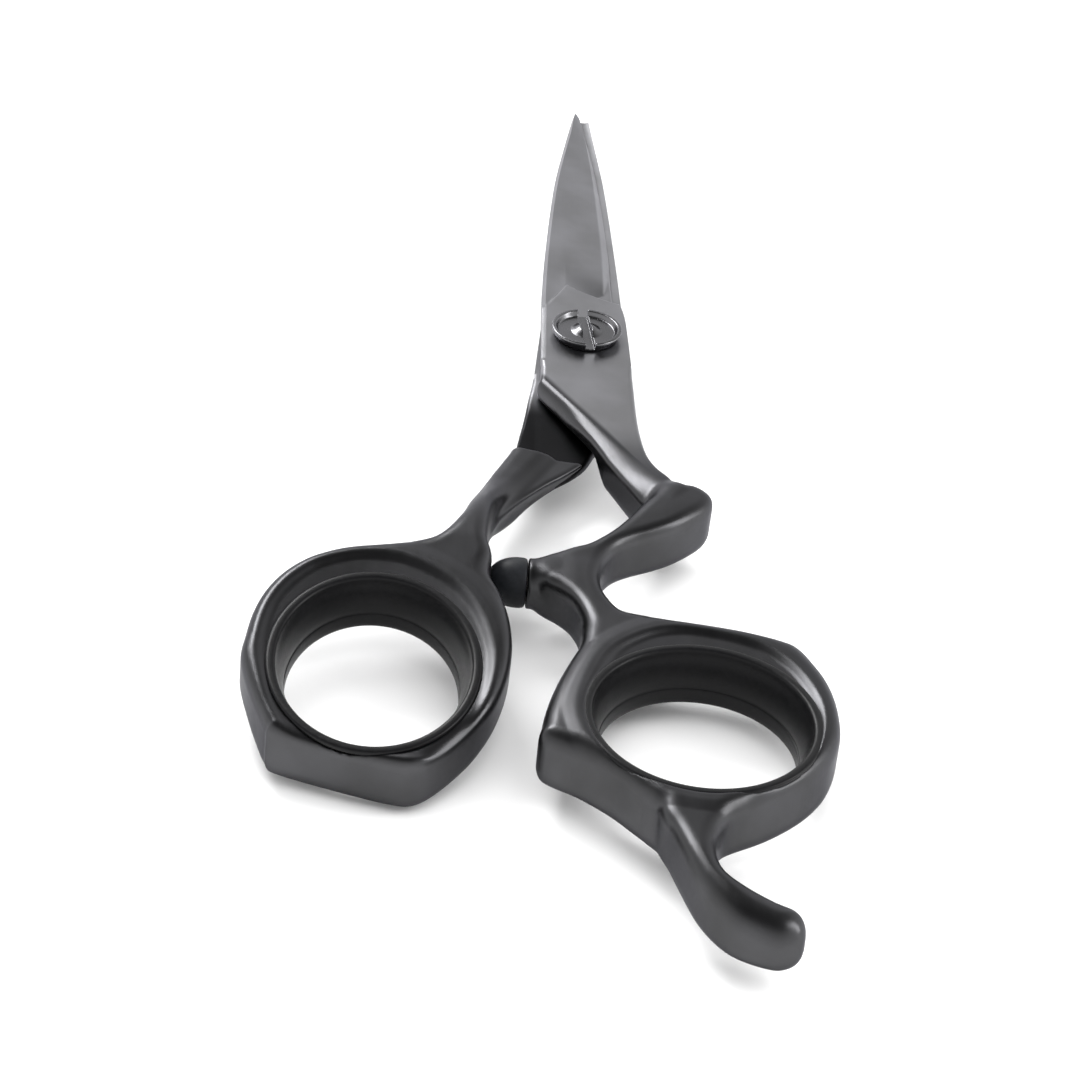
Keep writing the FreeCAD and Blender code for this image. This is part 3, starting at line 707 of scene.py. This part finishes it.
def noise(material, scale, detail=4.0, roughness=0.55):
    """Noise scaled along each axis, to the metre: unequal scales turn it into brushing lines."""
    links = material.node_tree.links
    coordinate = add(material, "ShaderNodeTexCoord")
    mapping = add(material, "ShaderNodeMapping")
    mapping.inputs["Scale"].default_value = scale
    links.new(coordinate.outputs["Object"], mapping.inputs["Vector"])
    node = add(material, "ShaderNodeTexNoise")
    node.inputs["Scale"].default_value = 1.0
    node.inputs["Detail"].default_value = detail
    node.inputs["Roughness"].default_value = roughness
    links.new(mapping.outputs["Vector"], node.inputs["Vector"])
    return node.outputs["Fac"]


def ramp(material, factor, low, high, start, end):
    """Maps a factor between two positions to two grey levels or colours."""
    node = add(material, "ShaderNodeValToRGB")
    node.color_ramp.elements[0].position = start
    node.color_ramp.elements[1].position = end
    node.color_ramp.elements[0].color = low
    node.color_ramp.elements[1].color = high
    material.node_tree.links.new(factor, node.inputs["Fac"])
    return node.outputs["Color"]


def grey(value, tint=0.0):
    """A grey, made bluer by the tint."""
    return (value, value, value * (1 + tint), 1)


def bump(material, node, height, distance, strength):
    """Roughens the surface by a height; distance in metres."""
    bumped = add(material, "ShaderNodeBump")
    bumped.inputs["Distance"].default_value = distance
    bumped.inputs["Strength"].default_value = strength
    material.node_tree.links.new(height, bumped.inputs["Height"])
    material.node_tree.links.new(bumped.outputs["Normal"], node.inputs["Normal"])


def coated_steel(name, base, rough, brush, dark=()):
    """Black coated steel with fine brushing along one direction and cloudy wear.

    dark gives the tones that it fades to above and below the ride plane; the blades' tone below is painted shade
    in the thumb plate's recess."""
    material, node = shader(name, Metallic=1.0, Specular_Tint=(0.6, 0.6, 0.62, 1))
    links = material.node_tree.links
    lines = noise(material, brush, 5.0, 0.6)
    clouds = noise(material, (140, 140, 140), 3.0, 0.5)
    tones = [ramp(material, clouds, grey(tone * 0.9, 0.03), grey(tone * 1.12, 0.05), 0.35, 0.7)
             for tone in (base, *dark)]
    colour = fade_to_handle(material, *tones) if dark else tones[0]
    links.new(colour, node.inputs["Base Color"])
    satin = ramp(material, lines, grey(rough * 0.92), grey(rough * 1.1), 0.3, 0.75)
    links.new(satin, node.inputs["Roughness"])
    bump(material, node, lines, 0.00001, 0.2)
    return material


def map_range(material, value, start, end):
    """Rises smoothly from 0 at start to 1 at end."""
    node = add(material, "ShaderNodeMapRange", interpolation_type="SMOOTHSTEP")
    node.inputs["From Min"].default_value = start
    node.inputs["From Max"].default_value = end
    material.node_tree.links.new(value, node.inputs["Value"])
    return node.outputs["Result"]


def maths(material, operation, first, second):
    """A Math node on two numbers, two sockets or one of each."""
    node = add(material, "ShaderNodeMath", operation=operation)
    for socket, value in zip(node.inputs, (first, second)):
        if isinstance(value, float):
            socket.default_value = value
        else:
            material.node_tree.links.new(value, socket)
    return node.outputs[0]


def fade_to_handle(material, colour, dark, pit_shade):
    """Mixes to the dark tone behind the ride plate and down the roll at its rear left; on the roll it is partly
    painted shade that dims its highlight.

    Below the ride plane it mixes instead to the pit's tone, a painted shade, and sooner, inside the hollow."""
    links = material.node_tree.links
    place = add(material, "ShaderNodeTexCoord").outputs["Object"]
    split = add(material, "ShaderNodeSeparateXYZ")
    links.new(place, split.inputs["Vector"])
    behind = map_range(material, split.outputs["Y"], *(PIVOT[1] - distance * MM for distance in NECK_FADE))
    # where the painted shade in the thumb plate's recess comes in
    hollow = map_range(material, split.outputs["Y"], *(PIVOT[1] - distance * MM for distance in PIT_SHADE_FADE))
    outwards = add(material, "ShaderNodeVectorMath", operation="DOT_PRODUCT")
    links.new(place, outwards.inputs[0])
    normal = Vector((ROLL_END[1] - ROLL_START[1], ROLL_START[0] - ROLL_END[0], 0)).normalized()
    outwards.inputs[1].default_value = normal
    start = normal.dot(Vector((*ROLL_START, 0)) * MM + Vector(PIVOT))
    # begins just before the roll: painted shade over the roll's highlight, on top of the handle's dark tone
    roll = map_range(material, outwards.outputs["Value"], *(start + distance * MM for distance in ROLL_SHADE_FADE))
    upper = maths(material, "MAXIMUM", behind, roll)
    lower = maths(material, "LESS_THAN", split.outputs["Z"], float(PIVOT[2]))
    above = maths(material, "SUBTRACT", 1.0, lower)
    for share, tone in (
        (maths(material, "MULTIPLY", upper, above), dark),
        (maths(material, "MULTIPLY", hollow, lower), pit_shade),
    ):
        mix = add(material, "ShaderNodeMix", data_type="RGBA", clamp_result=True)
        links.new(share, mix.inputs["Factor"])
        links.new(colour, mix.inputs[MIX_FIRST])
        links.new(tone, mix.inputs[MIX_SECOND])
        colour = mix.outputs[MIX_RESULT]
    return colour


def rubber(name, base, rough, grain):
    """Matt rubber with a fine grain."""
    material, node = shader(name, Metallic=0.0, Specular_IOR_Level=0.16)
    links = material.node_tree.links
    speckle = noise(material, (grain, grain, grain), 6.0, 0.7)
    low = tuple(c * 0.8 for c in base[:3]) + (1,)
    high = tuple(c * 1.25 for c in base[:3]) + (1,)
    links.new(ramp(material, speckle, low, high, 0.35, 0.7), node.inputs["Base Color"])
    matt = ramp(material, speckle, grey(rough * 0.9), grey(rough * 1.1), 0.3, 0.7)
    links.new(matt, node.inputs["Roughness"])
    bump(material, node, speckle, 0.00003, 0.3)
    return material


def nylon(name):
    """Natural nylon, slightly mottled."""
    material, node = shader(name, Metallic=0.0)
    speckle = noise(material, (900, 900, 900))
    links = material.node_tree.links
    cream = ramp(material, speckle, (0.62, 0.60, 0.55, 1), (0.78, 0.76, 0.70, 1), 0.3, 0.7)
    links.new(cream, node.inputs["Base Color"])
    links.new(ramp(material, speckle, grey(0.42), grey(0.55), 0.3, 0.7), node.inputs["Roughness"])
    return material


MATERIALS = {
    "handle_steel": coated_steel("handle_steel", BLADE_TONE, 0.33, (1500, 200, 900),
                                 dark=(HANDLE_TONE, HANDLE_TONE)),
    # below the ride plane the blades fade to painted shade in the thumb plate's recess
    "blade_steel": coated_steel("blade_steel", BLADE_TONE, 0.31, (3500, 90, 900),
                                dark=(HANDLE_TONE, PIT_SHADE_TONE)),
    "screw_steel": coated_steel("screw_steel", 0.15, 0.26, (1200, 1200, 300)),
    "spring_steel": coated_steel("spring_steel", 0.45, 0.25, (1500, 1500, 300)),
    "insert_rubber": rubber("insert_rubber", (0.0045, 0.0045, 0.005), 0.36, 2500),
    "bumper_rubber": rubber("bumper_rubber", (0.010, 0.011, 0.013), 0.50, 1400),
    "nylon": nylon("nylon"),
}


def finish_piece(piece, body, slot, *nodes):
    """Gives a piece its material, its body and the CAD nodes that it stands for."""
    piece.data.materials.clear()
    piece.data.materials.append(MATERIALS[slot])
    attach(piece, body)
    if nodes:
        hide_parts(*nodes)
    return piece


def join(first, second):
    """Adds the second mesh's faces to the first piece."""
    mesh = bmesh.new()
    mesh.from_mesh(first.data)
    mesh.from_mesh(second.data)
    mesh.to_mesh(first.data)
    mesh.free()
    bpy.data.objects.remove(second)


def make_half(field, low, high, blade_piece, handle_name, weld, body, nodes):
    """Meshes the body behind the blade, splits it at the weld and joins its front part to the blade."""
    coarse, fine = 0.34, 0.22
    step = fine
    points, faces = surface_mesh(field, low, high, step)
    handle = make_object(handle_name, points, faces)
    cut_flat(handle, (0, SPLIT_Y, 0), (0, 1, 0), False)
    front = handle.copy()
    front.data = handle.data.copy()
    bpy.context.scene.collection.objects.link(front)
    (wx, wy), heading = weld
    direction = (math.cos(math.radians(heading)), math.sin(math.radians(heading)), 0)
    cut_flat(handle, (wx, wy, 0), direction, True)
    cut_flat(front, (wx, wy, 0), direction, False)
    join(blade_piece, front)
    handle.data.set_sharp_from_angle(angle=math.radians(60))
    blade_piece.data.set_sharp_from_angle(angle=math.radians(50))
    finish_piece(handle, body, "handle_steel", nodes[1])
    finish_piece(blade_piece, body, "blade_steel", nodes[0])
    return handle


make_half(finger_field, (-8.5, -106, -4.6), (28, -3, 4.6), make_finger_blade(), "finger_handle_body",
          FINGER_WELD, ROOT_BODY, ("finger_blade", "finger_handle"))
make_half(thumb_field, (-37.5, -86, -7.5), (7.5, -3, 7.5), make_thumb_blade(), "thumb_handle_body",
          THUMB_WELD, HINGE_BODY, ("thumb_blade", "thumb_handle"))
finish_piece(make_finger_insert(), ROOT_BODY, "insert_rubber", "finger_insert")
finish_piece(make_thumb_insert(), HINGE_BODY, "insert_rubber", "thumb_insert")
finish_piece(make_bumper(), ROOT_BODY, "bumper_rubber", "bumper")
SCREW_STEP = 0.08
screw_mesh = surface_mesh(screw_field, (-4.6, -4.6, -2.3), (4.6, 4.6, 3.9), SCREW_STEP)
finish_piece(make_object("tension_screw_body", *screw_mesh), "tension_screw", "screw_steel", "pivot_screw")

SLOT_OF = {s["node"]: s["material_slot"] for s in frame["record"]["subparts"]}
for node_name, node_object in frame["nodes"].items():
    node_object.data.materials.clear()
    node_object.data.materials.append(MATERIALS[SLOT_OF[node_name]])


# ---- stage, lights and camera ----
def area_light(name, place, target, size, power):
    """A rectangular light that faces its target; size in metres, power in watts."""
    data = bpy.data.lights.new(name, "AREA")
    data.shape = "RECTANGLE"
    data.size, data.size_y = size
    data.energy = power
    light = bpy.data.objects.new(name, data)
    bpy.context.scene.collection.objects.link(light)
    light.location = place
    light.rotation_euler = (Vector(target) - Vector(place)).to_track_quat("-Z", "Y").to_euler()
    return light


def make_floor():
    """A plain pale sheet just under the shears."""
    half_side, gap = 3.0, 0.0003
    z = cad_box[0][2] - gap
    mesh = bpy.data.meshes.new("floor")
    corners = [(x * half_side, y * half_side, z) for x, y in ((-1, -1), (1, -1), (1, 1), (-1, 1))]
    mesh.from_pydata(corners, [], [(0, 1, 2, 3)])
    floor = bpy.data.objects.new("floor", mesh)
    bpy.context.scene.collection.objects.link(floor)
    material, node = shader("paper", Roughness=0.9, Specular_IOR_Level=0.1)
    speckle = noise(material, (60, 60, 60))
    tone = ramp(material, speckle, grey(0.90), grey(0.92), 0.3, 0.7)
    material.node_tree.links.new(tone, node.inputs["Base Color"])
    mesh.materials.append(material)


def make_world():
    """A bright horizon all round that darkens overhead."""
    world = bpy.data.worlds.new("studio")
    bpy.context.scene.world = world
    world.use_nodes = True
    nodes, links = world.node_tree.nodes, world.node_tree.links
    coordinate = nodes.new("ShaderNodeTexCoord")
    split = nodes.new("ShaderNodeSeparateXYZ")
    shade = nodes.new("ShaderNodeValToRGB")
    links.new(coordinate.outputs["Generated"], split.inputs["Vector"])
    links.new(split.outputs["Z"], shade.inputs["Fac"])
    links.new(shade.outputs["Color"], nodes["Background"].inputs["Color"])
    nodes["Background"].inputs["Strength"].default_value = 1.5
    stops = shade.color_ramp
    stops.elements[0].position, stops.elements[0].color = 0.0, grey(1.0)
    stops.elements[1].position, stops.elements[1].color = 0.95, grey(0.07)
    for place, value in ((0.22, 1.0), (0.45, 0.66), (0.62, 0.56), (0.80, 0.17)):
        stops.elements.new(place).color = grey(value)


def make_camera():
    """A long lens low over the handles, looking along the blades; the shears lie rolled to one side."""
    pitch, roll, azimuth = math.radians(34.183), math.radians(6.594), math.radians(-3.135)
    place = np.array([-19.752, -312.369, 184.69])
    along_floor = Vector((-math.sin(azimuth), math.cos(azimuth), 0))
    forward = math.cos(pitch) * along_floor - math.sin(pitch) * Vector((0, 0, 1))
    level = Vector((math.cos(azimuth), math.sin(azimuth), 0))
    up = level.cross(forward)
    right = math.cos(roll) * level + math.sin(roll) * up
    top = -math.sin(roll) * level + math.cos(roll) * up
    data = bpy.data.cameras.new("camera")
    data.sensor_width = 36
    data.lens = 100.926667
    data.clip_start = 0.01
    camera = bpy.data.objects.new("camera", data)
    bpy.context.scene.collection.objects.link(camera)
    rotation = Matrix((right, top, -forward)).transposed().to_4x4()
    camera.matrix_world = Matrix.Translation(Vector(place * MM + PIVOT)) @ rotation
    bpy.context.scene.camera = camera


make_floor()
make_world()
make_camera()
centre = (Vector(cad_box[0]) + Vector(cad_box[1])) / 2
area_light("key", centre + Vector((-0.30, 0.50, 0.50)), centre, size=(0.35, 0.25), power=4.6)
area_light("side", centre + Vector((0.5, -0.05, 0.30)), centre, size=(0.15, 0.4), power=1.4)
overhead = area_light("overhead", centre + Vector((0, 0, 1.0)), centre, size=(1.6, 1.6), power=17)
overhead.visible_glossy = False
bpy.context.scene.view_settings.view_transform = "Standard"
